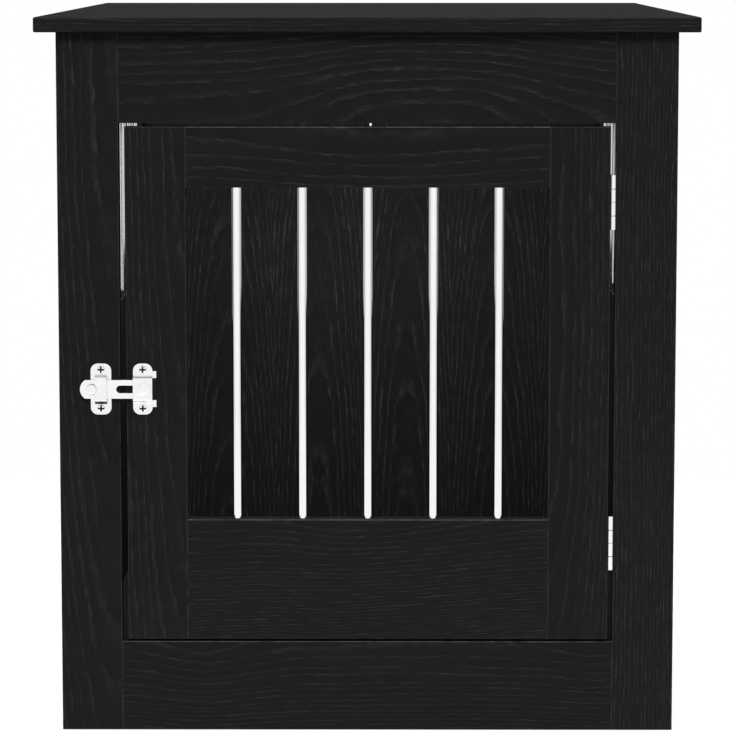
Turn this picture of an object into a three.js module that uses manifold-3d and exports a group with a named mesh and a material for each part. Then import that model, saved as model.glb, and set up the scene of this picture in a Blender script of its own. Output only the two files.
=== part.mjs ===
// Dog crate end table: a board-built cabinet under an overhanging table top, with a barred door that
// swings on two butt hinges, barred windows in both sides and a flat slide bolt.
// Millimetres, +Z up. The origin is on the floor under the middle of the top, the door faces -Y, and
// left and right are those of someone who faces the door.
import * as THREE from "three";
import { mergeVertices } from "three/addons/utils/BufferGeometryUtils.js";
import Module from "manifold-3d";

const wasm = await Module();
wasm.setup();

// ---------------------------------------------------------------- driving dimensions
// Table top and cabinet
const topWidth = 550;
const topDepth = 750;
const overallHeight = 600;
const topThickness = 12.5;
const sideOverhang = 17.5;
const frontOverhang = 10;
const backOverhang = 10;
const boardThickness = 15;
const boardEase = 0.6; // chamfer that breaks the long edges of every board
const topEase = 0.9;

// Front frame
const frontStileWidth = 51;
const frontTopRailHeight = 75;
const frontBottomRailHeight = 76;

// Sides, back and floor
const sideThickness = 12;
const sideInset = 12; // from the ends of the front and the back to the outer faces of the sides
const sideStileWidth = 50;
const sideTopRailHeight = 75;
const sidePanelHeight = 327.5;
const backBoardGap = 2;
const floorThickness = 12;
const floorTop = 60;

// Door
const doorLatchGap = 5.5;
const doorTopGap = 3;
const doorBottomGap = 2;
const doorStileWidth = 50;
const doorTopRailHeight = 50.5;
const doorBottomRailHeight = 102;

// Rods in the door and in the side windows
const rodDiameter = 8;
const rodSeatDepth = 10;
const rodClearance = 0.3;
const rodHeadroom = 0.5; // left free above a rod, in the upper hole
const doorRodCount = 5;
const doorRodInset = 42.1; // from a door stile to the middle of the nearest rod
const sideRodCount = 10;
const sideRodInset = 25.5;

// Butt hinges, rolled from sheet
const knuckleRadius = 2.25;
const hingeSheet = 1.1;
const hingeHeight = 45.5;
const hingeLeafReach = 13; // from the pin to the leaf's far edge
const hingeProud = 1.2; // the pin's distance in front of the boards
const knuckleCount = 4;
const knuckleGap = 0.4;
const hingePinClearance = 0.3;
const hingeScrewReach = 8.2;
const hingeScrewSpacing = 27;
const hingeScrewHole = 3;
const hingeSinkDiameter = 5.2;
const hingeSinkPast = 0.05; // how far the sink's cutter stands out of the sheet
const lowerHingeInset = 82.5; // from the door's lower edge to the middle of the hinge
const upperHingeInset = 62.5;

// Slide bolt
const latchHeight = 290.6;
const latchSheet = 1.2;
const latchClearance = 0.3;
const plateEnd = 5.1; // from a screw to the nearer end of its plate
const plateCorner = 6;
const guideWidth = 17.2;
const guideInset = 7.3; // from the guide plate to the edge of the frame's stile
const strapWidth = 10;
const strapShoulder = 2; // from the bolt's edge to the middle of the sheet, at the crown
const strapSplay = 2; // how far a leg leans out on its way down to the plate
const strapBend = 1.6; // radius in the middle of the sheet
const keeperWidth = 16.2;
const keeperInset = 5.4; // from the edge of the door to the keeper
const keeperShoulder = 1.9;
const keeperSplay = 0.6;
const keeperBend = 1.7;
const keeperDomeRadius = 5.3;
const keeperDomeRise = 0.9;
const earLength = 3.2;
const earHeight = 5.8;
const earTuck = 1; // how far an ear starts inside the foot of the raised part
const boltThickness = 2;
const boltHeight = 15.6;
const boltTail = 8.9; // how far the bolt reaches out of the guide on the knob's side
const boltReach = 14.5; // how far the bolt reaches over the door
const boltEndRise = 4.2;
const boltTipCorner = 2;
const boltSlotHeight = 6.5;
const boltSlotStart = 4.2; // from the guide plate to the slot
const boltSlotWeb = 3.2;
const knobPostRadius = 2.6;
const knobHeadRadius = 4.4;
const knobHeadHeight = 3.2;
const knobSpigotRadius = 1.5;
const knobCrownRise = 0.9;

// Cross-head screws of the two latch plates
const screwHeadRadius = 3.3;
const screwHeadHeight = 1.7;
const screwRimHeight = 0.7;
const screwShankRadius = 1.5;
const screwLength = 12;
const screwTipLength = 2.5;
const screwClearance = 0.3;
const crossLength = 5.4;
const crossWidth = 1.6;
const crossDepth = 1.3;

// Facets
const rodFacets = 24;
const rodHoleFacets = 20;
const holeFacets = 16;
const turnedFacets = 20;
const arcSteps = 4; // along half of a plate's rounded corner, or along a bend
const rollSteps = 10; // along half of a rolled knuckle

// ---------------------------------------------------------------- sizes that follow
const bodyTop = overallHeight - topThickness;
const bodyHalf = topWidth / 2 - sideOverhang;
const frontFace = -topDepth / 2 + frontOverhang;
const backFace = topDepth / 2 - backOverhang;
const frameBack = frontFace + boardThickness;
const backInner = backFace - boardThickness;
const sideOuter = bodyHalf - sideInset;
const sideInner = sideOuter - sideThickness;

const openingHalf = bodyHalf - frontStileWidth;
const openingTop = bodyTop - frontTopRailHeight;
const doorLeft = -openingHalf + doorLatchGap;
const doorRight = openingHalf - 2 * knuckleRadius;
const doorBottom = frontBottomRailHeight + doorBottomGap;
const doorTop = openingTop - doorTopGap;
const hingeAxis = { x: openingHalf - knuckleRadius, y: frontFace - hingeProud };
const lowerHingeHeight = doorBottom + lowerHingeInset;
const upperHingeHeight = doorTop - upperHingeInset;

const windowTop = bodyTop - sideTopRailHeight;
const windowFront = frameBack + sideStileWidth;
const windowBack = backInner - sideStileWidth;

const guideRight = -openingHalf - guideInset;
const guideMiddle = guideRight - guideWidth / 2;
const keeperMiddle = doorLeft + keeperInset + keeperWidth / 2;
const knobMiddle = guideMiddle - strapWidth / 2 - latchClearance - knobPostRadius;

// Stand-offs of the latch, out from the boards' front face
const boltBack = latchSheet + latchClearance;
const boltFront = boltBack + boltThickness;
const strapInner = boltFront + latchClearance;
const strapOuter = strapInner + latchSheet;

// Heights over the middle of the latch
const strapCrown = boltHeight / 2 + strapShoulder;
const strapRoot = strapCrown + strapSplay;
const keeperCrown = boltHeight / 2 + keeperShoulder;
const keeperRoot = keeperCrown + keeperSplay;
const strapLean = Math.atan2(strapOuter - latchSheet, strapSplay);
const strapFoot = strapRoot + strapBend * Math.tan(strapLean / 2); // where the plate is flat again
const screwOffset = strapFoot + latchClearance + screwHeadRadius;
const plateTop = screwOffset + plateEnd;
const earMiddle = keeperRoot - earTuck + earHeight / 2;

// ---------------------------------------------------------------- materials
const blackOak = new THREE.MeshStandardMaterial({ color: 0x2a2a2b, roughness: 0.62, metalness: 0 });
const chrome = new THREE.MeshStandardMaterial({ color: 0xe8eaec, roughness: 0.12, metalness: 1 });
const plated = new THREE.MeshStandardMaterial({ color: 0xf1f1f0, roughness: 0.35, metalness: 0.4 });
const steel = new THREE.MeshStandardMaterial({ color: 0xc4c6c8, roughness: 0.3, metalness: 1 });

// ---------------------------------------------------------------- solids and booleans
function toSolid(geometry) {
  const bare = geometry.clone();
  bare.deleteAttribute("normal");
  bare.deleteAttribute("uv");
  const merged = mergeVertices(bare, 1e-4);
  const mesh = new wasm.Mesh({
    numProp: 3,
    vertProperties: new Float32Array(merged.attributes.position.array),
    triVerts: new Uint32Array(merged.index.array),
  });
  return new wasm.Manifold(mesh);
}

function toGeometry(solid) {
  const { vertProperties, triVerts } = solid.getMesh();
  const geometry = new THREE.BufferGeometry();
  geometry.setAttribute("position", new THREE.BufferAttribute(vertProperties, 3));
  geometry.setIndex(new THREE.BufferAttribute(triVerts, 1));
  const facets = geometry.toNonIndexed();
  facets.computeVertexNormals();
  return facets;
}

function cut(geometry, ...tools) {
  const result = tools.reduce((solid, tool) => solid.subtract(toSolid(tool)), toSolid(geometry));
  return toGeometry(result);
}

function join(geometry, ...others) {
  const result = others.reduce((solid, other) => solid.add(toSolid(other)), toSolid(geometry));
  return toGeometry(result);
}

function common(geometry, other) {
  return toGeometry(toSolid(geometry).intersect(toSolid(other)));
}

// ---------------------------------------------------------------- placing
const axisX = new THREE.Vector3(1, 0, 0);
const axisY = new THREE.Vector3(0, 1, 0);
const axisZ = new THREE.Vector3(0, 0, 1);
const outward = new THREE.Vector3(0, -1, 0);
const downward = new THREE.Vector3(0, 0, -1);

/** Turns a geometry drawn in a sketch plane so that its x, y and z lie along u, v and w. */
function lay(geometry, u, v, w) {
  return geometry.applyMatrix4(new THREE.Matrix4().makeBasis(u, v, w));
}

/** A mesh with its name, placed at a point. */
function piece(name, geometry, material, x = 0, y = 0, z = 0) {
  const mesh = new THREE.Mesh(geometry, material);
  mesh.name = name;
  mesh.position.set(x, y, z);
  return mesh;
}

function rectangle(width, height) {
  const shape = new THREE.Shape();
  shape.moveTo(-width / 2, -height / 2);
  shape.lineTo(width / 2, -height / 2);
  shape.lineTo(width / 2, height / 2);
  shape.lineTo(-width / 2, height / 2);
  shape.closePath();
  return shape;
}

/** A sawn board between two values on each axis, its faces chamfered all round. */
function boardGeometry(sizeX, sizeY, sizeZ, ease) {
  const thickness = Math.min(sizeX, sizeY, sizeZ);
  const options = {
    depth: thickness - 2 * ease,
    bevelEnabled: true,
    bevelThickness: ease,
    bevelSize: ease,
    bevelOffset: -ease,
    bevelSegments: 1,
  };
  const planks = [
    { is: sizeY, width: sizeX, height: sizeZ, basis: [axisX, axisZ, outward] },
    { is: sizeX, width: sizeY, height: sizeZ, basis: [axisY, axisZ, axisX] },
    { is: sizeZ, width: sizeX, height: sizeY, basis: [axisX, axisY, axisZ] },
  ];
  const plank = planks.find((p) => p.is === thickness);
  const geometry = new THREE.ExtrudeGeometry(rectangle(plank.width, plank.height), options);
  geometry.translate(0, 0, ease - thickness / 2);
  return lay(geometry, ...plank.basis);
}

function board(name, [x0, x1], [y0, y1], [z0, z1], ease = boardEase) {
  const geometry = boardGeometry(x1 - x0, y1 - y0, z1 - z0, ease);
  return piece(name, geometry, blackOak, (x0 + x1) / 2, (y0 + y1) / 2, (z0 + z1) / 2);
}

/** Cuts holes, given as geometries in the same space as the mesh's position, out of a mesh. */
function drill(mesh, holes) {
  const { x, y, z } = mesh.position;
  mesh.geometry = cut(mesh.geometry, ...holes.map((hole) => hole.translate(-x, -y, -z)));
  return mesh;
}

/** A cylinder that stands between two heights. */
function upright(radius, facets, x, y, z0, z1) {
  const geometry = new THREE.CylinderGeometry(radius, radius, z1 - z0, facets);
  return lay(geometry, axisX, axisZ, outward).translate(x, y, (z0 + z1) / 2);
}

// ---------------------------------------------------------------- rods
/** Middles of evenly spaced rods, with the end ones an inset away from both ends. */
function rodRow(start, end, inset, count) {
  const pitch = (end - start - 2 * inset) / (count - 1);
  return Array.from({ length: count }, (_, i) => start + inset + i * pitch);
}

/** Round rods between two rails, with the blind holes that the rails need for them. */
function rodSet(prefix, places, lowerEdge, upperEdge) {
  const bottom = lowerEdge - rodSeatDepth;
  const top = upperEdge + rodSeatDepth - rodHeadroom;
  const radius = rodDiameter / 2;
  const holeRadius = radius + rodClearance;
  const past = rodSeatDepth;
  return {
    rods: places.map(([x, y], i) => {
      const geometry = upright(radius, rodFacets, 0, 0, bottom, top);
      return piece(`${prefix}_${i + 1}`, geometry, chrome, x, y);
    }),
    lowerHoles: places.map(([x, y]) =>
      upright(holeRadius, rodHoleFacets, x, y, bottom, lowerEdge + past)),
    upperHoles: places.map(([x, y]) =>
      upright(holeRadius, rodHoleFacets, x, y, upperEdge - past, upperEdge + rodSeatDepth)),
  };
}

// ---------------------------------------------------------------- cabinet
function makeTop() {
  const halfWidth = topWidth / 2;
  const halfDepth = topDepth / 2;
  return board("top_panel", [-halfWidth, halfWidth], [-halfDepth, halfDepth],
    [bodyTop, overallHeight], topEase);
}

function makeFrontFrame() {
  const y = [frontFace, frameBack];
  const leftStile = board("front_left_stile", [-bodyHalf, -openingHalf], y, [0, bodyTop]);
  const rightStile = board("front_right_stile", [openingHalf, bodyHalf], y, [0, bodyTop]);
  const across = [-openingHalf, openingHalf];
  const topRail = board("front_top_rail", across, y, [openingTop, bodyTop]);
  const bottomRail = board("front_bottom_rail", across, y, [0, frontBottomRailHeight]);
  drill(leftStile, screwPilots(guideMiddle));
  return [leftStile, rightStile, topRail, bottomRail];
}

/** One side: two stiles, a top rail over the window, a lower panel under it, and the rods between. */
function makeSide(label, direction) {
  const x = [direction * sideInner, direction * sideOuter].sort((a, b) => a - b);
  const between = [windowFront, windowBack];
  const frontStile = board(`${label}_side_front_stile`, x, [frameBack, windowFront], [0, bodyTop]);
  const rearStile = board(`${label}_side_rear_stile`, x, [windowBack, backInner], [0, bodyTop]);
  const topRail = board(`${label}_side_top_rail`, x, between, [windowTop, bodyTop]);
  const panel = board(`${label}_side_lower_panel`, x, between, [0, sidePanelHeight]);
  const rodX = (x[0] + x[1]) / 2;
  const places = rodRow(windowFront, windowBack, sideRodInset, sideRodCount).map((y) => [rodX, y]);
  const set = rodSet(`${label}_side_rod`, places, sidePanelHeight, windowTop);
  drill(panel, set.lowerHoles);
  drill(topRail, set.upperHoles);
  return [frontStile, rearStile, topRail, panel, ...set.rods];
}

function makeBack() {
  const y = [backInner, backFace];
  const z = [0, bodyTop];
  const halfGap = backBoardGap / 2;
  return [
    board("back_left_board", [-bodyHalf, -halfGap], y, z),
    board("back_right_board", [halfGap, bodyHalf], y, z),
  ];
}

function makeFloor() {
  return board("floor_panel", [-sideInner, sideInner], [frameBack, backInner],
    [floorTop - floorThickness, floorTop]);
}

// ---------------------------------------------------------------- door
/** The barred door, in the cabinet's space. */
function makeDoor() {
  const y = [frontFace, frameBack];
  const z = [doorBottom, doorTop];
  const panelLeft = doorLeft + doorStileWidth;
  const panelRight = doorRight - doorStileWidth;
  const lowerEdge = doorBottom + doorBottomRailHeight;
  const upperEdge = doorTop - doorTopRailHeight;
  const latchStile = board("door_latch_stile", [doorLeft, panelLeft], y, z);
  const hingeStile = board("door_hinge_stile", [panelRight, doorRight], y, z);
  const topRail = board("door_top_rail", [panelLeft, panelRight], y, [upperEdge, doorTop]);
  const bottomRail = board("door_bottom_rail", [panelLeft, panelRight], y, [doorBottom, lowerEdge]);
  const rodY = frontFace + boardThickness / 2;
  const places = rodRow(panelLeft, panelRight, doorRodInset, doorRodCount).map((x) => [x, rodY]);
  const set = rodSet("door_rod", places, lowerEdge, upperEdge);
  drill(bottomRail, set.lowerHoles);
  drill(topRail, set.upperHoles);
  drill(latchStile, screwPilots(keeperMiddle));
  return [latchStile, hingeStile, topRail, bottomRail, ...set.rods];
}

// ---------------------------------------------------------------- hinges
/** Plan of a leaf with its rolled knuckle round the origin, the leaf running along +Y. */
function leafPlan() {
  const inner = knuckleRadius - hingeSheet;
  const closing = Math.acos(inner / knuckleRadius);
  const plan = new THREE.Shape();
  plan.moveTo(inner, hingeLeafReach);
  plan.absarc(0, 0, knuckleRadius, closing, 2 * Math.PI, false);
  plan.lineTo(knuckleRadius, hingeLeafReach);
  plan.closePath();
  const bore = new THREE.Path();
  bore.absarc(0, 0, inner, 0, 2 * Math.PI, true);
  plan.holes.push(bore);
  return plan;
}

/** The room that the other leaf's knuckle needs; knuckle 0 is the lowest. */
function knuckleRoom(index) {
  const pitch = hingeHeight / knuckleCount;
  const atEnd = index === 0 || index === knuckleCount - 1;
  const z0 = -hingeHeight / 2 + index * pitch - knuckleGap / 2;
  const past = atEnd ? knuckleGap : 0;
  const z1 = z0 + pitch + knuckleGap;
  return upright(knuckleRadius + knuckleGap, turnedFacets, 0, 0, z0 - past, z1 + past);
}

/** A countersunk hole through a leaf, wide on the side that faces the other leaf. */
function leafScrewHole(z) {
  const sheetMiddle = knuckleRadius - hingeSheet / 2;
  const through = new THREE.CylinderGeometry(hingeScrewHole / 2, hingeScrewHole / 2,
    2 * hingeSheet, holeFacets);
  const sink = new THREE.CylinderGeometry(hingeScrewHole / 2, hingeSinkDiameter / 2,
    hingeSheet, holeFacets);
  sink.translate(0, hingeSheet / 2 - hingeSinkPast, 0);
  const turned = [through, sink].map((tool) => tool.rotateZ(Math.PI / 2));
  return turned.map((tool) => tool.translate(sheetMiddle, hingeScrewReach, z));
}

/** A leaf with the top knuckle and every second one below it. Turned over, it is the other leaf. */
function leafGeometry() {
  const options = { depth: hingeHeight, bevelEnabled: false, curveSegments: rollSteps };
  const blank = new THREE.ExtrudeGeometry(leafPlan(), options);
  blank.translate(0, 0, -hingeHeight / 2);
  const rooms = [];
  for (let index = knuckleCount - 2; index >= 0; index -= 2) {
    rooms.push(knuckleRoom(index));
  }
  const half = hingeScrewSpacing / 2;
  return cut(blank, ...rooms, ...leafScrewHole(-half), ...leafScrewHole(half));
}

function makeHinge(label, z) {
  const { x, y } = hingeAxis;
  const frameLeaf = piece(`${label}_hinge_frame_leaf`, leafGeometry(), plated, x, y, z);
  const doorLeaf = piece(`${label}_hinge_door_leaf`, leafGeometry(), plated, x, y, z);
  doorLeaf.rotation.y = Math.PI;
  const pinRadius = knuckleRadius - hingeSheet - hingePinClearance;
  const pinGeometry = upright(pinRadius, turnedFacets, 0, 0, -hingeHeight / 2, hingeHeight / 2);
  const pin = piece(`${label}_hinge_pin`, pinGeometry, steel, x, y, z);
  return { frameSide: [frameLeaf, pin], doorSide: [doorLeaf] };
}

// ---------------------------------------------------------------- latch
function roundedRectangle(width, height, radius) {
  const x = width / 2 - radius;
  const y = height / 2 - radius;
  const quarter = Math.PI / 2;
  const shape = new THREE.Shape();
  shape.absarc(x, -y, radius, -quarter, 0, false);
  shape.absarc(x, y, radius, 0, quarter, false);
  shape.absarc(-x, y, radius, quarter, 2 * quarter, false);
  shape.absarc(-x, -y, radius, 2 * quarter, 3 * quarter, false);
  shape.closePath();
  return shape;
}

/** A flat shape seen from the front, x across and y up, given a thickness towards the viewer. */
function faceOn(shape, thickness, back = 0) {
  const options = { depth: thickness, bevelEnabled: false, curveSegments: arcSteps };
  const geometry = new THREE.ExtrudeGeometry(shape, options);
  geometry.translate(0, 0, back);
  return lay(geometry, axisX, axisZ, outward);
}

/** One side of a bent strip, as points: the middle line's corners rounded and moved over by a half. */
function stripSide(corners, bend, shift) {
  const points = [];
  corners.forEach((corner, i) => {
    const before = corners[i - 1];
    const after = corners[i + 1];
    const into = before && corner.clone().sub(before).normalize();
    const out = after && after.clone().sub(corner).normalize();
    const normal = (d) => new THREE.Vector2(-d.y, d.x);
    if (!into || !out) {
      points.push(corner.clone().addScaledVector(normal(into ?? out), shift));
      return;
    }
    const turn = into.cross(out) > 0 ? 1 : -1;
    const angle = Math.acos(into.dot(out));
    const tangent = bend * Math.tan(angle / 2);
    const centre = corner.clone().addScaledVector(into, -tangent)
      .addScaledVector(normal(into), turn * bend);
    const radius = bend - turn * shift;
    const first = Math.atan2(normal(into).y, normal(into).x) + (turn > 0 ? Math.PI : 0);
    for (let step = 0; step <= arcSteps; step += 1) {
      const a = first + turn * angle * (step / arcSteps);
      points.push(new THREE.Vector2(centre.x + radius * Math.cos(a), centre.y + radius * Math.sin(a)));
    }
  });
  return points;
}

/** The cross-section of a sheet bent along a middle line. */
function bentStrip(corners, bend, thickness) {
  const left = stripSide(corners, bend, thickness / 2);
  const right = stripSide(corners, bend, -thickness / 2);
  return new THREE.Shape([...right, ...left.reverse()]);
}

/** A hat-shaped strap over the bolt: height up and down, stand-off from the board outwards. */
function hat({ foot, root, crown, bend, width }) {
  const low = latchSheet / 2;
  const high = strapOuter - latchSheet / 2;
  const corners = [
    new THREE.Vector2(-foot, low),
    new THREE.Vector2(-root, low),
    new THREE.Vector2(-crown, high),
    new THREE.Vector2(crown, high),
    new THREE.Vector2(root, low),
    new THREE.Vector2(foot, low),
  ];
  const options = { depth: width, bevelEnabled: false };
  const geometry = new THREE.ExtrudeGeometry(bentStrip(corners, bend, latchSheet), options);
  geometry.translate(0, 0, -width / 2);
  return lay(geometry, axisZ, outward, axisX);
}

/** A cylinder whose axis points at the viewer, from one stand-off to another. */
function facing(radius, facets, back, front, x = 0, z = 0) {
  const geometry = new THREE.CylinderGeometry(radius, radius, front - back, facets);
  return geometry.translate(x, -(back + front) / 2, z);
}

function plateHoles() {
  const radius = screwShankRadius + screwClearance;
  return [-screwOffset, screwOffset].map((z) =>
    facing(radius, holeFacets, -latchSheet, 2 * latchSheet, 0, z));
}

/** The pilot holes in a stile behind a latch plate. */
function screwPilots(x) {
  const radius = screwShankRadius + screwClearance;
  const depth = screwLength - latchSheet + screwClearance;
  return [-screwOffset, screwOffset].map((z) =>
    facing(radius, holeFacets, -depth, boardThickness).translate(x, frontFace, latchHeight + z));
}

/** The guide on the cabinet: a plate whose middle is slit and pressed out into a strap. */
function guideGeometry() {
  const plan = roundedRectangle(guideWidth, 2 * plateTop, plateCorner);
  const lanced = strapRoot + latchSheet / 2;
  plan.holes.push(rectangle(strapWidth, 2 * lanced));
  const strap = hat({
    foot: lanced + latchSheet,
    root: strapRoot,
    crown: strapCrown,
    bend: strapBend,
    width: strapWidth,
  });
  return cut(join(faceOn(plan, latchSheet), strap), ...plateHoles());
}

/** The keeper on the door: a plate raised across its whole width, with a round dome and two ears. */
function keeperGeometry() {
  const plan = roundedRectangle(keeperWidth, 2 * plateTop, plateCorner);
  const outline = faceOn(plan, 2 * strapOuter, -latchSheet);
  const raised = hat({
    foot: plateTop,
    root: keeperRoot,
    crown: keeperCrown,
    bend: keeperBend,
    width: keeperWidth,
  });
  const overlap = latchSheet;
  const ear = rectangle(earLength + overlap, earHeight);
  const earX = (keeperWidth + earLength - overlap) / 2;
  const ears = [-earMiddle, earMiddle].map((z) => faceOn(ear, latchSheet).translate(earX, 0, z));
  return cut(join(common(raised, outline), ...ears, domeGeometry()), ...plateHoles());
}

/** A shallow pressed dome, sunk a little into the crown that it rises from. */
function domeGeometry() {
  const sunk = latchSheet / 2;
  const rise = keeperDomeRise;
  const sphere = (keeperDomeRadius ** 2 + rise ** 2) / (2 * rise);
  const opening = Math.asin(keeperDomeRadius / sphere);
  const profile = [new THREE.Vector2(0, -sunk), new THREE.Vector2(keeperDomeRadius, -sunk)];
  for (let step = arcSteps; step >= 0; step -= 1) {
    const angle = opening * (step / arcSteps);
    const height = sphere * Math.cos(angle) - (sphere - rise);
    profile.push(new THREE.Vector2(sphere * Math.sin(angle), height));
  }
  return turned(profile).translate(0, -strapOuter, 0);
}

/** A turned part from a profile of radius and stand-off, its axis towards the viewer. */
function turned(profile) {
  const geometry = new THREE.LatheGeometry(profile, turnedFacets);
  return lay(geometry, axisX, outward, downward);
}

/** The flat bolt, drawn from the middle of the guide: an arched tail, a long slot, a square tip. */
function boltGeometry() {
  const halfHeight = boltHeight / 2;
  const tail = -guideWidth / 2 - boltTail;
  const tip = doorLeft + boltReach - guideMiddle;
  const endRadius = (halfHeight ** 2 + boltEndRise ** 2) / (2 * boltEndRise);
  const endAngle = Math.asin(halfHeight / endRadius);
  const quarter = Math.PI / 2;
  const plan = new THREE.Shape();
  plan.absarc(tip - boltTipCorner, -halfHeight + boltTipCorner, boltTipCorner, -quarter, 0, false);
  plan.absarc(tip - boltTipCorner, halfHeight - boltTipCorner, boltTipCorner, 0, quarter, false);
  plan.absarc(tail + endRadius, 0, endRadius, Math.PI - endAngle, Math.PI + endAngle, false);
  plan.closePath();

  const slotRadius = boltSlotHeight / 2;
  const slotStart = guideWidth / 2 + boltSlotStart + slotRadius;
  const slotEnd = tip - boltSlotWeb - slotRadius;
  const slot = new THREE.Path();
  slot.absarc(slotEnd, 0, slotRadius, quarter, -quarter, true);
  slot.absarc(slotStart, 0, slotRadius, -quarter, -3 * quarter, true);
  slot.closePath();
  plan.holes.push(slot);

  const knobHole = facing(knobSpigotRadius + latchClearance, holeFacets, 0, 2 * boltFront,
    knobMiddle - guideMiddle);
  return cut(faceOn(plan, boltThickness, boltBack), knobHole);
}

/** The knob: a spigot through the bolt, a post that stops against the strap, a domed head over it. */
function knobGeometry() {
  const shoulder = boltFront;
  const underHead = strapOuter + latchClearance;
  const rim = underHead + knobHeadHeight - knobCrownRise;
  const profile = [
    new THREE.Vector2(0, boltBack),
    new THREE.Vector2(knobSpigotRadius, boltBack),
    new THREE.Vector2(knobSpigotRadius, shoulder),
    new THREE.Vector2(knobPostRadius, shoulder),
    new THREE.Vector2(knobPostRadius, underHead),
    new THREE.Vector2(knobHeadRadius, underHead),
  ];
  for (let step = 0; step <= arcSteps; step += 1) {
    const angle = (Math.PI / 2) * (step / arcSteps);
    const height = rim + knobCrownRise * Math.sin(angle);
    profile.push(new THREE.Vector2(knobHeadRadius * Math.cos(angle), height));
  }
  return turned(profile);
}

/** A pan-head screw with a cross recess, its head seated at a stand-off of zero. */
function screwGeometry() {
  const profile = [
    new THREE.Vector2(0, -screwLength),
    new THREE.Vector2(screwShankRadius, screwTipLength - screwLength),
    new THREE.Vector2(screwShankRadius, 0),
    new THREE.Vector2(screwHeadRadius, 0),
  ];
  const rim = screwRimHeight;
  for (let step = 0; step <= arcSteps; step += 1) {
    const angle = (Math.PI / 2) * (step / arcSteps);
    const height = rim + (screwHeadHeight - rim) * Math.sin(angle);
    profile.push(new THREE.Vector2(screwHeadRadius * Math.cos(angle), height));
  }
  const recessDepth = crossDepth * 2;
  const arms = [rectangle(crossLength, crossWidth), rectangle(crossWidth, crossLength)];
  const recess = arms.map((arm) => faceOn(arm, recessDepth, screwHeadHeight - crossDepth));
  return cut(turned(profile), ...recess);
}

function latchScrews(label, x) {
  const places = { lower: -screwOffset, upper: screwOffset };
  return Object.entries(places).map(([place, z]) => piece(`${label}_${place}_screw`,
    screwGeometry(), plated, x, frontFace - latchSheet, latchHeight + z));
}

function makeLatch() {
  const at = [frontFace, latchHeight];
  return {
    cabinetSide: [
      piece("latch_guide", guideGeometry(), plated, guideMiddle, ...at),
      ...latchScrews("guide", guideMiddle),
    ],
    bolt: [
      piece("latch_bolt", boltGeometry(), plated, guideMiddle, ...at),
      piece("latch_knob", knobGeometry(), plated, knobMiddle, ...at),
    ],
    doorSide: [
      piece("latch_keeper", keeperGeometry(), plated, keeperMiddle, ...at),
      ...latchScrews("keeper", keeperMiddle),
    ],
  };
}

// ---------------------------------------------------------------- assembly
const upperHinge = makeHinge("upper", upperHingeHeight);
const lowerHinge = makeHinge("lower", lowerHingeHeight);
const latch = makeLatch();

const cabinet = new THREE.Group();
cabinet.add(
  makeTop(),
  ...makeFrontFrame(),
  ...makeSide("left", -1),
  ...makeSide("right", 1),
  ...makeBack(),
  makeFloor(),
  ...upperHinge.frameSide,
  ...lowerHinge.frameSide,
  ...latch.cabinetSide,
);

const door = new THREE.Group();
door.add(...makeDoor(), ...upperHinge.doorSide, ...lowerHinge.doorSide, ...latch.doorSide);

const slideBolt = new THREE.Group();
slideBolt.add(...latch.bolt);

const endTable = new THREE.Group();
endTable.add(cabinet, door, slideBolt);

export default endTable;
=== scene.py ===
"""Looks of the dog crate end table: black oak boards, polished rods, a plated slide bolt and butt hinges,
on a pale studio floor. Lengths on the object are in millimetres, times MM where Blender takes metres.
Lengths in the studio are in metres."""

import math

import bmesh
import bpy
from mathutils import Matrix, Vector


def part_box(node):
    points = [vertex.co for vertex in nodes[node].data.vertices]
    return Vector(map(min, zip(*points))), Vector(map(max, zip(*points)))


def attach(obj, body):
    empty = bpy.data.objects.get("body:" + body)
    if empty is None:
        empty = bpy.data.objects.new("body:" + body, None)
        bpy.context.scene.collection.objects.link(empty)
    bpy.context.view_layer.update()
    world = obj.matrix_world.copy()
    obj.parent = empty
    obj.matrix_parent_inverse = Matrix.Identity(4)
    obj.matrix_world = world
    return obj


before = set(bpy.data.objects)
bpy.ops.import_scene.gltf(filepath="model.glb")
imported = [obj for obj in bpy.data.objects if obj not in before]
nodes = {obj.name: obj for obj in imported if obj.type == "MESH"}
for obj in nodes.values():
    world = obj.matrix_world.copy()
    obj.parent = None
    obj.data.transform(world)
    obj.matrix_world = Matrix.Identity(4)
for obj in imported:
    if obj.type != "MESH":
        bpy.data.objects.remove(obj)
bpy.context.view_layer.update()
MM = 0.001


# ---------------------------------------------------------------- node trees


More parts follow.
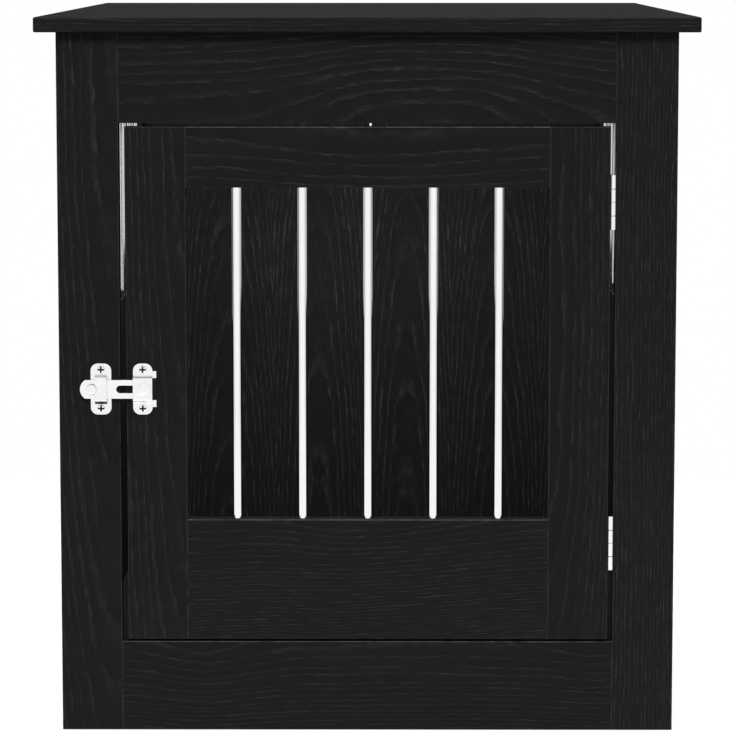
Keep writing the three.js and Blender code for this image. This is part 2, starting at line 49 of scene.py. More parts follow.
class Tree:
    """Builds a node tree from code: sockets and plain numbers can be mixed in every call."""

    def __init__(self, tree):
        self.tree = tree
        self.tree.nodes.clear()

    def feed(self, socket, value):
        if isinstance(value, bpy.types.NodeSocket):
            self.tree.links.new(value, socket)
        elif value is not None:
            socket.default_value = value

    def node(self, kind, inputs=None, **settings):
        made = self.tree.nodes.new(kind)
        for name, value in settings.items():
            setattr(made, name, value)
        for key, value in (inputs or {}).items():
            self.feed(made.inputs[key], value)
        return made

    def math(self, operation, *values):
        made = self.node("ShaderNodeMath", operation=operation)
        for socket, value in zip(made.inputs, values):
            self.feed(socket, value)
        return made.outputs[0]

    def add(self, first, *others):
        total = first
        for other in others:
            total = self.math("ADD", total, other)
        return total

    def times(self, a, b):
        return self.math("MULTIPLY", a, b)

    def step(self, value, low, high):
        """0 below low, 1 above high, smooth between. With low over high it runs the other way."""
        rising = low < high
        ends = {
            "Value": value,
            "From Min": min(low, high),
            "From Max": max(low, high),
            "To Min": 0.0 if rising else 1.0,
            "To Max": 1.0 if rising else 0.0,
        }
        return self.node("ShaderNodeMapRange", ends, interpolation_type="SMOOTHSTEP").outputs["Result"]

    def point(self, x, y, z):
        return self.node("ShaderNodeCombineXYZ", {"X": x, "Y": y, "Z": z}).outputs[0]

    def split(self, vector):
        return self.node("ShaderNodeSeparateXYZ", {"Vector": vector}).outputs

    def noise(self, vector, detail=1.0, roughness=0.5):
        """Smooth noise about 0.5, one wave for each unit of the vector."""
        settings = {"Vector": vector, "Scale": 1.0, "Detail": detail, "Roughness": roughness}
        return self.node("ShaderNodeTexNoise", settings, noise_dimensions="3D").outputs[0]

    def mix(self, share, first, second):
        """A colour between two, by a share from 0 to 1."""
        return self.node("ShaderNodeMix", {0: share, 6: first, 7: second}, data_type="RGBA").outputs[2]

    def scaled(self, vector, factor):
        return self.node("ShaderNodeVectorMath", {0: vector, "Scale": factor}, operation="SCALE").outputs[0]

    def stretched(self, vector, factors):
        return self.node("ShaderNodeVectorMath", {0: vector, 1: factors}, operation="MULTIPLY").outputs[0]

    def minus(self, a, b):
        return self.math("SUBTRACT", a, b)

    def size(self, value):
        """The value without its sign."""
        return self.math("ABSOLUTE", value)

    def length(self, a, b):
        """How long the vector (a, b) is."""
        return self.math("SQRT", self.add(self.times(a, a), self.times(b, b)))

    def blend(self, share, first, second):
        """A plain value between two, by a share from 0 to 1."""
        return self.math("MULTIPLY_ADD", self.minus(second, first), share, first)

    def bell(self, value, middle, spread, height):
        """A smooth rise of that height about the middle."""
        away = self.times(self.minus(value, middle), 1.0 / spread)
        return self.times(self.math("EXPONENT", self.times(self.times(away, away), -1.0)), height)


def grey(level):
    """A neutral colour from its level on a screen, 0 to 255."""
    share = level / 255.0
    linear = share / 12.92 if share <= 0.04045 else ((share + 0.055) / 1.055) ** 2.4
    return (linear, linear, linear, 1.0)


def new_material(name):
    made = bpy.data.materials.new(name)
    made.use_nodes = True
    return made, Tree(made.node_tree)


def give(node_names, material):
    for name in node_names:
        slots = nodes[name].data.materials
        if len(slots) == 0:
            slots.append(material)
        for index in range(len(slots)):
            slots[index] = material


def middle_of(name):
    """The middle of a node's box, in mm."""
    low_corner, high_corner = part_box(name)
    return (low_corner + high_corner) / 2.0 / MM


# ---------------------------------------------------------------- black oak

OAK_GLOSS = 0.012
TOP_GLOSS = 0.008
OAK_ROUGHNESS = 0.84
OAK_GROUND = grey(30)
OAK_SHADE = grey(22)
# Painted shade for the far face of a side wall, inside the crate.
OAK_INNER_SHADE = grey(9)
OAK_PORE = grey(58)
# Painted highlights on the chamfers, and paler ones on chamfers that look up.
OAK_EDGE_HIGHLIGHT = grey(57)
OAK_TOP_EDGE_HIGHLIGHT = grey(86)

TOP_SKIN, FLOOR_SKIN = 600.0, 60.0  # heights of the shown faces of the top and the floor
FRONT_SKIN, BACK_SKIN = -365.0, 350.0  # places in Y of the shown faces of the front and the back
SIDE_SKIN = 245.5  # distance of the sides' outer faces from the middle
# How strongly that painted shade darkens the far face of a side wall.
INNER_SHADE = 0.45

RING_POWER = 1.7  # rings narrow outwards: their count grows with this power of the distance from the pith
RING_REACH = 46.0  # the distance from the pith where rings have the stated spacing
EDGE_PITH = 52.0  # the pith's distance from a board's face, as seen on its narrow sides
STAVE_DEPTH = 44.0  # how far the pith's depth can differ from stave to stave of a wide board
INTO_SHARE = 0.6  # how much of the depth into a board counts in the pith's distance
SLOW_BEND, QUICK_BEND, SHAKE = 9.0, 3.4, 0.9  # widths of the grain's wanderings across a board
DEPTH_BEND = 9.0  # width of the pith's wandering in depth
UNEVEN, DRIFT, STAGGER = 0.9, 0.5, 0.34  # widths of the rings' own shifts, counted in rings
COUNT_FROM = 50.0  # keeps the count of rings above zero
TONE_SHARE = 0.2  # how far a board's slow tone lightens its ground
SHADE_SHARE = 0.3  # how far the painted shade in the late part of each ring darkens it
PORE_SINK = 0.12  # how deep the pores look

# Pairs of a level where something starts to show and one where it shows in full:
FACING = (0.7, 0.8)  # a normal's part along an axis, for a face that looks along it
UPWARD = (0.3, 0.6)  # a normal's upward part, for a face that looks up
CHAMFER = (0.96, 0.8)  # the largest part of a normal, for a chamfer
HIGHLIGHT_PATCHES = (0.2, 0.62)  # slow noise, for where the painted highlight on a chamfer shows
FAR_FACE = (9.0, 11.5)  # the depth into a side wall, where painted shade on its far face starts, and is full


def make_grain_group():
    """Growth rings round a pith under a sawn board's face, drawn as bands of short pores and painted shade.
    Repeat is the width of a wide board's staves, each with its own pith."""
    group = bpy.data.node_groups.new("black_oak_grain", "ShaderNodeTree")
    face = group.interface
    for name in ("Across", "Along", "Into", "Pith Depth", "Repeat", "Spacing", "Wander", "Flecks", "Seed"):
        face.new_socket(name, in_out="INPUT", socket_type="NodeSocketFloat")
    for name in ("Pores", "Shade", "Tone"):
        face.new_socket(name, in_out="OUTPUT", socket_type="NodeSocketFloat")
    t = Tree(group)
    given = t.node("NodeGroupInput").outputs
    across, along, seed = given["Across"], given["Along"], given["Seed"]

    def wave(value, per_value, per_along, offset, detail, low=-0.5):
        """Noise from low to low + 1, at waves for each unit of the value and each mm along the board."""
        at = t.point(t.times(value, per_value), t.times(along, per_along), t.add(seed, offset))
        return t.add(t.noise(at, detail), low)

    # Where a point lies from the pith, beside and under it, with the board's slow and quick wanderings.
    slow = wave(across, 0.004, 0.005, 0.0, 1.0)
    quick = wave(across, 0.05, 0.016, 7.3, 2.0)
    shaky = wave(across, 0.25, 0.1, 3.1, 1.0)
    shift = t.times(t.add(t.times(slow, SLOW_BEND), t.times(quick, QUICK_BEND)), given["Wander"])
    moved = t.add(across, shift, t.times(shaky, SHAKE))
    half = t.times(given["Repeat"], 0.5)
    beside = t.math("WRAP", moved, half, t.times(half, -1.0))
    deeper = t.times(t.times(wave(across, 0.0, 0.012, 11.7, 1.0), DEPTH_BEND), given["Wander"])
    stave = t.math("FLOOR", t.add(t.math("DIVIDE", moved, given["Repeat"]), 0.5))
    other = t.math("MINIMUM", t.size(stave), 1.0)
    own_depth = t.times(wave(stave, 3.7, 0.0, 17.0, 0.0), t.times(other, STAVE_DEPTH))
    under = t.add(given["Pith Depth"], given["Into"], deeper, own_depth)
    radius = t.math("SQRT", t.add(t.times(beside, beside), t.times(under, under), 0.01))

    # Rings counted outwards, uneven in width and staggered along the board.
    share = t.math("POWER", t.times(radius, 1.0 / RING_REACH), RING_POWER)
    rings = t.math("DIVIDE", t.times(share, RING_REACH / RING_POWER), given["Spacing"])
    uneven = t.times(wave(rings, 0.8, 0.0025, 1.0, 1.0), UNEVEN)
    drift = t.times(wave(rings, 1.1, 0.02, 5.0, 1.0), DRIFT)
    stagger = t.times(wave(rings, 1.9, 0.085, 9.0, 1.0), STAGGER)
    phase = t.math("FRACT", t.add(rings, uneven, drift, stagger, COUNT_FROM))

    # Each ring's pores: a band that fades outwards, in dashes, fainter where rings lie along the face.
    strength = t.step(wave(rings, 1.6, 0.042, 13.0, 1.5, 0.0), 0.36, 0.6)
    fading = t.step(phase, 0.3, 0.03)
    rising = t.step(phase, 0.9, 0.97)
    band = t.math("MAXIMUM", fading, rising)
    dash = t.step(wave(moved, 1.5, 0.07, 21.0, 2.5, 0.0), 0.42, 0.6)
    flank = t.math("DIVIDE", t.size(beside), radius)
    solid = t.add(t.times(t.times(dash, 0.6), flank), t.times(dash, 0.3), t.times(flank, 0.12))
    body = t.times(solid, t.add(t.times(strength, 0.75), 0.25))
    strewn = t.step(wave(moved, 1.5, 0.055, 33.0, 2.0, 0.0), 0.52, 0.68)
    pores = t.add(t.times(band, body), t.times(strewn, given["Flecks"]))
    # Painted shade in the late part of each ring, just before the next band of pores.
    shade = t.times(t.step(phase, 0.58, 0.88), t.minus(1.0, rising))
    out = t.node("NodeGroupOutput")
    t.feed(out.inputs["Pores"], t.math("MINIMUM", pores, 1.0))
    t.feed(out.inputs["Shade"], t.times(shade, strength))
    t.feed(out.inputs["Tone"], wave(across, 0.02, 0.008, 45.0, 2.0))
    return group


GRAIN = make_grain_group()


def oak(
    name,
    axis,
    face,
    skin,
    pith,
    depth,
    dips=(),
    lean=0.0,
    slant=0.0,
    spacing=4.5,
    repeat=1000.0,
    wander=1.0,
    strewn=0.1,
    flecks=None,
    contrast=0.66,
    inner=0.0,
    seed=0.0,
    edge=1.0,
    top_edge=0.0,
    gloss=OAK_GLOSS,
):
    """Black oak for one board. Its grain runs along axis and its wide faces look along face, the shown one
    at skin. The pith runs under that face at that place and depth; each dip (place, reach, rise) changes
    the depth, lean changes it steadily along the board, and slant moves the pith sideways. Fine pores are
    strewn at a level, and flecks (from, to, level) adds more beyond a place across the board. Contrast is
    how light the pores are, edge how strong the painted highlight on the chamfers, top_edge how much paler
    that painted highlight is on those that look up, and inner how dark the painted shade on the far face."""
    made, t = new_material(name)
    shape = t.node("ShaderNodeTexCoord")
    place = t.scaled(shape.outputs["Object"], 1.0 / MM)
    side = ({"x", "y", "z"} - {axis, face}).pop()
    by_axis = dict(zip("xyz", t.split(place)))
    turned = dict(zip("xyz", (t.size(n) for n in t.split(shape.outputs["Normal"]))))
    end = t.step(turned[axis], *FACING)
    narrow = t.math("MAXIMUM", end, t.step(turned[side], *FACING))
    into = t.size(t.minus(by_axis[face], skin))
    along = t.blend(end, by_axis[axis], by_axis[side])
    beside = t.minus(by_axis[side], t.add(t.times(by_axis[axis], slant), pith))
    across = t.blend(narrow, beside, t.add(into, EDGE_PITH))
    deep = t.add(t.times(by_axis[axis], lean), depth)
    for middle, reach, rise in dips:
        deep = t.add(deep, t.bell(by_axis[axis], middle, reach, rise))
    if flecks:
        first, full, level = flecks
        strewn = t.add(t.times(t.step(by_axis[side], first, full), level), strewn)
    settings = {
        "Across": across,
        "Along": along,
        "Into": t.times(into, INTO_SHARE),
        "Pith Depth": deep,
        "Repeat": repeat,
        "Spacing": spacing,
        "Wander": wander,
        "Flecks": strewn,
        "Seed": seed,
    }
    grain = t.node("ShaderNodeGroup", settings, node_tree=GRAIN).outputs
    pores, shade, tone = grain["Pores"], grain["Shade"], grain["Tone"]

    # Painted highlight on the chamfers, in patches of slow noise, paler where they look up.
    flat = t.math("MAXIMUM", t.math("MAXIMUM", turned["x"], turned["y"]), turned["z"])
    highlight_noise = t.noise(t.scaled(place, 0.09), 3.0, 0.6)
    edge_highlight = t.times(t.step(flat, *CHAMFER), t.times(t.step(highlight_noise, *HIGHLIGHT_PATCHES), edge))
    upward = t.step(t.split(shape.outputs["Normal"])[2], *UPWARD)

    ground = t.mix(t.times(tone, TONE_SHARE), OAK_GROUND, OAK_PORE)
    shaded = t.mix(t.times(shade, SHADE_SHARE), ground, OAK_SHADE)
    face_colour = t.mix(t.times(pores, contrast), shaded, OAK_PORE)
    highlight_colour = t.mix(t.times(upward, top_edge), OAK_EDGE_HIGHLIGHT, OAK_TOP_EDGE_HIGHLIGHT)
    colour = t.mix(edge_highlight, face_colour, highlight_colour)
    # Painted shade on the far face of a side wall, inside the crate.
    if inner:
        colour = t.mix(t.times(t.step(into, *FAR_FACE), inner), colour, OAK_INNER_SHADE)
    grit = t.noise(t.scaled(place, 2.2), 2.0)
    roughness = t.add(t.times(pores, 0.1), t.times(grit, 0.06), t.times(tone, 0.05), OAK_ROUGHNESS)
    height = t.add(t.times(pores, -1.0), t.times(grit, 0.06))
    bump = t.node("ShaderNodeBump", {"Strength": 0.3, "Distance": PORE_SINK * MM, "Height": height})
    shader = t.node(
        "ShaderNodeBsdfPrincipled",
        {
            "Base Color": colour,
            "Roughness": roughness,
            "Specular IOR Level": gloss,
            "Normal": bump.outputs[0],
        },
    )
    t.node("ShaderNodeOutputMaterial", {"Surface": shader.outputs[0]})
    return made


def front_board(node_name, name, axis, pith, depth, **grain):
    """One board of the front frame or of the door."""
    give([node_name], oak(name, axis, "y", FRONT_SKIN, pith, depth, **grain))


give(
    ["top_panel"],
    oak(
        "oak_top", "x", "z", TOP_SKIN, pith=60, depth=9, lean=0.02, spacing=4.6, repeat=260, seed=1.0,
        edge=0.3, gloss=TOP_GLOSS,
    ),
)
front_board(
    "front_left_stile", "oak_front_left", "z", pith=-211, depth=52, lean=-0.085, spacing=5.2, wander=0.7,
    strewn=0.2, contrast=0.7, seed=2.0,
)
front_board(
    "front_right_stile", "oak_front_right", "z", pith=150, depth=20, spacing=5.0, wander=0.9, strewn=0.34,
    contrast=0.74, seed=3.0,
)
front_board(
    "front_top_rail", "oak_front_top", "x", pith=505, depth=45, dips=[(50, 90, -42)], spacing=8.4,
    wander=0.45, strewn=0.16, seed=4.0,
)
front_board(
    "front_bottom_rail", "oak_front_bottom", "x", pith=90, depth=38, dips=[(-141, 48, -11), (190, 40, -5)],
    spacing=5.6, wander=0.4, strewn=0.12, contrast=0.6, seed=5.0, top_edge=0.5,
)
front_board(
    "door_latch_stile", "oak_door_latch", "z", pith=-148, depth=44, lean=-0.067, spacing=5.2, wander=0.6,
    strewn=0.22, contrast=0.74, seed=6.0,
)
front_board(
    "door_hinge_stile", "oak_door_hinge", "z", pith=148, depth=10, dips=[(70, 110, 20)], spacing=5.0,
    wander=0.8, flecks=(174, 188, 0.5), contrast=0.58, seed=7.0,
)
front_board(
    "door_top_rail", "oak_door_top", "x", pith=516, depth=32, dips=[(14, 100, -14)], spacing=8.0,
    wander=0.4, seed=8.0, top_edge=1.0,
)
front_board(
    "door_bottom_rail", "oak_door_bottom", "x", pith=208, depth=34, dips=[(15, 75, -20)], slant=0.05,
    spacing=5.2, wander=0.7, strewn=0.2, contrast=0.62, seed=9.0, top_edge=0.6,
)
give(
    ["back_left_board", "back_right_board"],
    oak(
        "oak_back", "z", "y", BACK_SKIN, pith=38, depth=5, lean=0.085, spacing=4.0, repeat=93, wander=0.6,
        strewn=0.24, contrast=1.35, seed=10.0,
    ),
)
give(
    ["floor_panel"],
    oak("oak_floor", "x", "z", FLOOR_SKIN, pith=-40, depth=14, spacing=4.8, repeat=230, seed=11.0),
)


def side_boards(side, skin, seed):
    """The four boards of one side wall."""

    def wall_board(node_name, name, axis, number, **grain):
        made = oak(name, axis, "x", skin, inner=INNER_SHADE, seed=seed + number, **grain)
        give([f"{side}_side_{node_name}"], made)

    wall_board("front_stile", f"oak_{side}_front", "z", 0, pith=-310, depth=44, lean=-0.06)
    wall_board("rear_stile", f"oak_{side}_rear", "z", 1, pith=250, depth=8, spacing=7.0)
    wall_board("top_rail", f"oak_{side}_top", "y", 2, pith=530, depth=26, dips=[(-60, 110, -24)])
    wall_board(
        "lower_panel", f"oak_{side}_lower", "y", 3, pith=150, depth=16, dips=[(80, 120, -14)], repeat=240,
        top_edge=1.0,
    )


side_boards("left", -SIDE_SKIN, 12.0)
side_boards("right", SIDE_SKIN, 18.0)


# ---------------------------------------------------------------- metals

# Painted shade on metal: in crevices, on undersides, in given pits and in given creases.
CREVICE_REACH = 2.4 * MM
CREVICE = (0.62, 0.3)  # share of open sky where the painted shade in a crevice starts, and is full
CREVICE_SHADE_COLOUR = grey(38)
UNDERSIDE_SHADE = (-0.55, -0.8)  # a normal's upward part where the painted shade on an underside starts, and is full
UNDERSIDE_SHARE = 0.8  # how dark the painted shade on an underside is, against that in a crevice
PIT_SHADE_COLOUR = grey(18)
PIT_SHARE = 0.97  # how dark the painted shade in a pit is
PIT_BLUR = 0.15
CREASE_BLUR = 0.45
CREASE_SHARE = 0.1  # how dark the painted shade in a crease is
EVEN, FINE, BROAD = (0.9, 0.9, 0.9), (1.5, 1.5, 1.5), (0.5, 0.5, 0.5)  # waves for each mm in X, Y and Z


def painted_pit_shade(t, place, colour, pits):
    """The colour with painted shade in rectangles, seen from the front: (x, z, half width, half height)."""
    x, _, z = t.split(place)
    for pit_x, pit_z, half_width, half_height in pits:
        beside, above = t.size(t.minus(x, pit_x)), t.size(t.minus(z, pit_z))
        in_width = t.step(beside, half_width, half_width - PIT_BLUR)
        in_height = t.step(above, half_height, half_height - PIT_BLUR)
        colour = t.mix(t.times(t.times(in_width, in_height), PIT_SHARE), colour, PIT_SHADE_COLOUR)
    return colour


def painted_crease_shade(t, place, colour, crease):
    """The colour with a faint ring of painted shade, seen from the front: (x, z, radius)."""
    x, _, z = t.split(place)
    ring_x, ring_z, radius = crease
    away = t.length(t.minus(x, ring_x), t.minus(z, ring_z))
    return t.mix(t.bell(away, radius, CREASE_BLUR, CREASE_SHARE), colour, CREVICE_SHADE_COLOUR)


def metal(name, level, roughness, streak, streaks, crevice=0.0, grazing=255, pits=(), crease=None):
    """Plated or polished metal: streaks in its gloss and its surface, and painted shade in its crevices, on
    its undersides, in given pits and in a given crease. Level is how light it is, and grazing the level of
    its tint where it turns away."""
    made, t = new_material(name)
    shape = t.node("ShaderNodeTexCoord")
    place = t.scaled(shape.outputs["Object"], 1.0 / MM)
    fine = t.noise(t.stretched(place, streaks), 2.0, 0.55)
    broad = t.noise(t.scaled(place, 0.07), 3.0)
    patchy = t.minus(t.add(t.times(broad, 0.6), t.times(fine, 0.4)), 0.5)
    colour = t.mix(t.add(t.times(patchy, 0.9), 0.4), grey(level - 8), grey(level + 4))
    # Painted shade where little open sky reaches, and on undersides.
    if crevice:
        open_sky = t.node("ShaderNodeAmbientOcclusion", {"Distance": CREVICE_REACH}, samples=6).outputs["AO"]
        crevice_shade_share = t.times(t.step(open_sky, *CREVICE), crevice)
        under = t.step(t.split(shape.outputs["Normal"])[2], *UNDERSIDE_SHADE)
        painted_shade = t.math("MAXIMUM", crevice_shade_share, t.times(under, UNDERSIDE_SHARE * crevice))
        colour = t.mix(painted_shade, colour, CREVICE_SHADE_COLOUR)
    # Painted shade in pits, such as screw crosses and the guide's opening.
    if pits:
        colour = painted_pit_shade(t, place, colour, pits)
    # Painted shade in a faint ring at a crease.
    if crease:
        colour = painted_crease_shade(t, place, colour, crease)
    gloss = t.add(t.times(t.minus(fine, 0.5), streak), t.times(t.minus(broad, 0.5), 0.12), roughness)
    bump = t.node("ShaderNodeBump", {"Strength": 0.12, "Distance": 0.02 * MM, "Height": fine})
    shader = t.node(
        "ShaderNodeBsdfPrincipled",
        {
            "Base Color": colour,
            "Metallic": 1.0,
            "Roughness": gloss,
            "Specular Tint": grey(grazing),
            "Normal": bump.outputs[0],
        },
    )
    t.node("ShaderNodeOutputMaterial", {"Surface": shader.outputs[0]})
    return made


polished_rod = metal("polished_rod", 250, roughness=0.13, streak=0.06, streaks=(1.3, 1.3, 0.05), grazing=70)
plated_sheet = metal("plated_sheet", 250, roughness=0.22, streak=0.1, streaks=EVEN, crevice=0.6)
plated_knob = metal("plated_knob", 249, roughness=0.2, streak=0.06, streaks=BROAD, crevice=0.5)
steel_pin = metal("steel_pin", 236, roughness=0.28, streak=0.1, streaks=(0.7, 0.7, 0.1))
wood_screw_steel = metal("wood_screw_steel", 240, roughness=0.28, streak=0.08, streaks=FINE, crevice=1.0)

give([name for name in nodes if "_rod_" in name], polished_rod)
give([name for name in nodes if name.endswith("_leaf")], plated_sheet)
give([name for name in nodes if name.endswith("_pin")], steel_pin)
give(["latch_bolt"], plated_sheet)
give(["latch_knob"], plated_knob)

# Each latch screw has its own metal, because the painted shade in its cross and ring lies at its own place.
CROSS_ARM, CROSS_THICK = 2.75, 0.85  # half the length and half the width of the bars of the painted shade in its cross
HEAD_CREASE = 3.2  # radius of the faint ring of painted shade just inside the rim of its head
latch_screws = [name for name in nodes if name.endswith("_screw")]
for name in latch_screws:
    x, _, z = middle_of(name)
    cross = [(x, z, CROSS_ARM, CROSS_THICK), (x, z, CROSS_THICK, CROSS_ARM)]
    rim = (x, z, HEAD_CREASE)
    steel = metal(f"{name}_steel", 249, roughness=0.22, streak=0.08, streaks=FINE, pits=cross, crease=rim)
    give([name], steel)

SLOT_DROP = 11.3  # from the middle of the guide to the lanced opening under the strap's lower end, painted as dark shade
SLOT_HALF_WIDTH, SLOT_HALF_HEIGHT = 5.2, 1.45
x, _, z = middle_of("latch_guide")
slot = [(x, z - SLOT_DROP, SLOT_HALF_WIDTH, SLOT_HALF_HEIGHT)]
give(
    ["latch_guide"],
    metal("plated_guide", 248, roughness=0.22, streak=0.1, streaks=EVEN, crevice=0.5, pits=slot),
)

DOME_FOOT = 5.3  # radius of the ring of painted shade at the foot of the dome in the keeper's crown
x, _, z = middle_of("latch_keeper")
foot = (x, z, DOME_FOOT)
give(
    ["latch_keeper"],
    metal("plated_keeper", 248, roughness=0.22, streak=0.1, streaks=EVEN, crevice=0.3, crease=foot),
)


# ---------------------------------------------------------------- wood screws of the hinges

WOOD_SCREW_RADIUS = 2.42
WOOD_SCREW_NECK = 1.3
WOOD_SCREW_HEIGHT = 1.05
CROSS_REACH = 1.5
CROSS_HALF_WIDTH = 0.3
CROSS_DEPTH = 0.6
SCREW_SIDES = 32
SCREW_TURN = 0.35  # radians that a screw is turned, for each mm of its height
LEAF_SCREW_Y = -358.0
LEAF_SCREW_OFFSET = 13.5  # from the middle of a hinge, up or down
FRAME_SCREW_FACE = 205.45  # places in X of the screws' flat faces, 0.05 mm below those of the leaves
DOOR_SCREW_FACE = 203.05


def screw_mesh(name):
    """A countersunk cross-head screw whose flat face lies at x 0 and looks along +X."""
    shell = bmesh.new()

    def ring(radius, drop):
        turns = (2.0 * math.pi * i / SCREW_SIDES for i in range(SCREW_SIDES))
        return [shell.verts.new((-drop, radius * math.cos(a), radius * math.sin(a))) for a in turns]

    def cross(drop):
        w, r = CROSS_HALF_WIDTH, CROSS_REACH
        quarter = [(w, w), (w, r), (-w, r)]
        corners = []
        for _ in range(4):
            corners += quarter
            quarter = [(-z, y) for y, z in quarter]
        return [shell.verts.new((-drop, y, z)) for y, z in corners]

    def bridge(outer, inner):
        for i, here in enumerate(outer):
            after = (i + 1) % len(outer)
            shell.faces.new((here, inner[i], inner[after], outer[after]))

    rim, neck = ring(WOOD_SCREW_RADIUS, 0.0), ring(WOOD_SCREW_NECK, WOOD_SCREW_HEIGHT)
    mouth, pit = cross(0.0), cross(CROSS_DEPTH)
    bridge(rim, neck)
    shell.faces.new(reversed(neck))
    bridge(mouth, pit)
    shell.faces.new(pit)
    edges = [shell.edges.get((loop[i], loop[i - 1])) for loop in (rim, mouth) for i in range(len(loop))]
    bmesh.ops.triangle_fill(shell, edges=edges, use_beauty=True, normal=(1.0, 0.0, 0.0))
    bmesh.ops.recalc_face_normals(shell, faces=shell.faces)
    mesh = bpy.data.meshes.new(name)
    shell.to_mesh(mesh)
    shell.free()
    mesh.materials.append(wood_screw_steel)
    return mesh


def wood_screw(name, body, face_x, turned_round, z):
    """A wood screw in a hinge leaf, with its flat face at face_x. It looks along +X, or turned round
    along -X."""
    screw = bpy.data.objects.new(name, screw_mesh(name))
    screw.scale = (MM, MM, MM)
    screw.rotation_euler = (SCREW_TURN * z, 0.0, math.pi if turned_round else 0.0)
    screw.location = (face_x * MM, LEAF_SCREW_Y * MM, z * MM)
    bpy.context.scene.collection.objects.link(screw)
    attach(screw, body)


LEAVES = (("frame", "cabinet", FRAME_SCREW_FACE, True), ("door", "door", DOOR_SCREW_FACE, False))
for hinge in ("lower", "upper"):
    middle = middle_of(f"{hinge}_hinge_pin").z
    for leaf, body, face_x, turned_round in LEAVES:
        for place, offset in (("lower", -LEAF_SCREW_OFFSET), ("upper", LEAF_SCREW_OFFSET)):
            wood_screw(f"{hinge}_hinge_{leaf}_{place}_screw", body, face_x, turned_round, middle + offset)


# ---------------------------------------------------------------- studio

FLOOR_REACH = 1.9
FLOOR_FADE = (0.5, 0.6 * FLOOR_REACH)  # distances where the floor starts to fade to white, and is white
FLOOR_LIFT = 0.55  # light that the floor gives off near the object, which lights nothing diffuse
FLOOR_DROP = 0.0005  # how far the floor lies below the object
FLOOR_DARK, FLOOR_PALE = grey(205), grey(211)
WHITE_FRONT = (-0.1, -0.9)  # a mirrored direction's part along Y where the white front starts, and is full
WHITE = (1.0, 1.0, 1.0, 1.0)


def make_floor():
    """A pale disk that keeps the object's shadow near it and fades to white further out."""
    made, t = new_material("pale_floor")
    place = t.node("ShaderNodeTexCoord").outputs["Object"]
    x, y, _ = t.split(place)
    far = t.step(t.length(x, y), *FLOOR_FADE)
    speck = t.noise(t.scaled(place, 9.0), 3.0)
    plain = t.node("ShaderNodeBsdfDiffuse", {"Color": t.mix(speck, FLOOR_DARK, FLOOR_PALE)})
    path = t.node("ShaderNodeLightPath").outputs
    seen = t.add(path["Is Camera Ray"], path["Is Glossy Ray"], path["Is Transmission Ray"])
    shown = t.math("MINIMUM", seen, 1.0)
    white = t.node("ShaderNodeEmission", {"Color": WHITE, "Strength": shown})
    lift = t.node("ShaderNodeEmission", {"Color": WHITE, "Strength": t.times(shown, FLOOR_LIFT)})
    near = t.node("ShaderNodeAddShader", {0: plain.outputs[0], 1: lift.outputs[0]})
    blend = t.node("ShaderNodeMixShader", {0: far, 1: near.outputs[0], 2: white.outputs[0]})
    t.node("ShaderNodeOutputMaterial", {"Surface": blend.outputs[0]})
    mesh = bpy.data.meshes.new("studio_floor")
    shell = bmesh.new()
    bmesh.ops.create_circle(shell, cap_ends=True, radius=FLOOR_REACH, segments=96)
    shell.to_mesh(mesh)
    shell.free()
    floor = bpy.data.objects.new("studio_floor", mesh)
    floor.location = (0.0, 0.0, -FLOOR_DROP)
    mesh.materials.append(made)
    bpy.context.scene.collection.objects.link(floor)


def make_world(diffuse, beside):
    """White where the camera sees it, and one soft level for diffuse light. What metal mirrors is white in
    front, and has the level beside at the sides, above and behind."""
    world = bpy.data.worlds.new("studio")
    world.use_nodes = True
    bpy.context.scene.world = world
    t = Tree(world.node_tree)
    path = t.node("ShaderNodeLightPath").outputs
    shown = t.math("MINIMUM", t.add(path["Is Camera Ray"], path["Is Transmission Ray"]), 1.0)
    y = t.split(t.node("ShaderNodeTexCoord").outputs["Generated"])[1]
    mirrored = t.add(t.times(t.step(y, *WHITE_FRONT), 1.0 - beside), beside - diffuse)
    strength = t.add(t.times(shown, 1.0 - diffuse), t.times(path["Is Glossy Ray"], mirrored), diffuse)
    back = t.node("ShaderNodeBackground", {"Color": WHITE, "Strength": strength})
    t.node("ShaderNodeOutputWorld", {"Surface": back.outputs[0]})


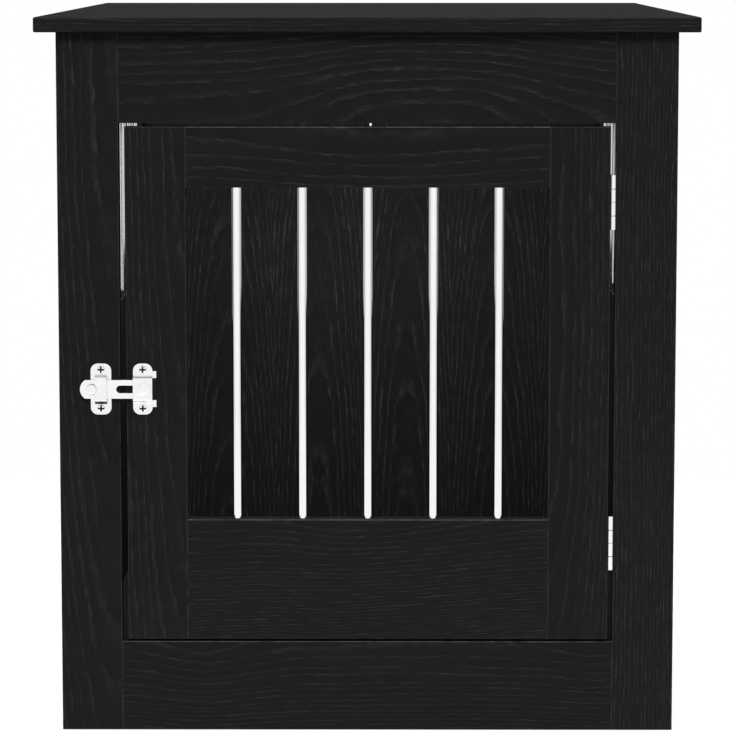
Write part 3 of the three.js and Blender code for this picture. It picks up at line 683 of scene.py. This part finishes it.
def make_lamp(name, place, target, size, watts, camera=True):
    """A rectangular lamp that looks at its target and that nothing mirrors."""
    data = bpy.data.lights.new(name, "AREA")
    data.shape = "RECTANGLE"
    data.size, data.size_y = size
    data.energy = watts
    lamp = bpy.data.objects.new(name, data)
    lamp.location = place
    lamp.rotation_euler = (Vector(target) - Vector(place)).to_track_quat("-Z", "Y").to_euler()
    lamp.visible_glossy = False
    lamp.visible_camera = camera
    bpy.context.scene.collection.objects.link(lamp)


CAMERA_PLACE = (0.014, -3.2, 0.6561)
CAMERA_LENS = 167.29
CAMERA_TILT, CAMERA_TURN = 6.994, 0.269  # degrees down and to the left


def make_camera():
    data = bpy.data.cameras.new("photo_view")
    data.sensor_fit = "HORIZONTAL"
    data.sensor_width = 36.0
    data.lens = CAMERA_LENS
    data.clip_start = 0.05
    data.clip_end = 60.0
    camera = bpy.data.objects.new("photo_view", data)
    camera.location = CAMERA_PLACE
    camera.rotation_euler = (math.radians(90.0 - CAMERA_TILT), 0.0, math.radians(CAMERA_TURN))
    bpy.context.scene.collection.objects.link(camera)
    bpy.context.scene.camera = camera


make_floor()
make_world(diffuse=0.3, beside=0.66)
make_lamp("key", place=(-0.05, -2.6, 2.6), target=(0.0, -0.35, 0.3), size=(1.6, 1.0), watts=63.6)
make_lamp("fill", place=(-0.1, -4.4, 0.8), target=(0.0, 0.0, 0.3), size=(1.2, 0.8), watts=29.4)
make_lamp("left", place=(-1.7, -0.2, 0.78), target=(0.0, 0.1, 0.3), size=(1.2, 0.9), watts=13.0)
make_lamp("right", place=(1.7, -0.2, 0.78), target=(0.0, 0.1, 0.3), size=(1.2, 0.9), watts=13.0)
make_lamp("back", place=(0.0, 2.6, 1.2), target=(0.0, 0.3, 0.3), size=(1.6, 1.0), watts=25.0)
make_lamp("top", place=(0.0, 0.0, 3.2), target=(0.0, 0.0, 0.0), size=(2.4, 2.4), watts=45.0)
make_lamp(
    "inside", place=(-0.06, -0.27, 0.53), target=(-0.04, 0.35, 0.2), size=(0.3, 0.08), watts=3.1, camera=False
)
make_camera()
bpy.context.scene.view_settings.view_transform = "Standard"
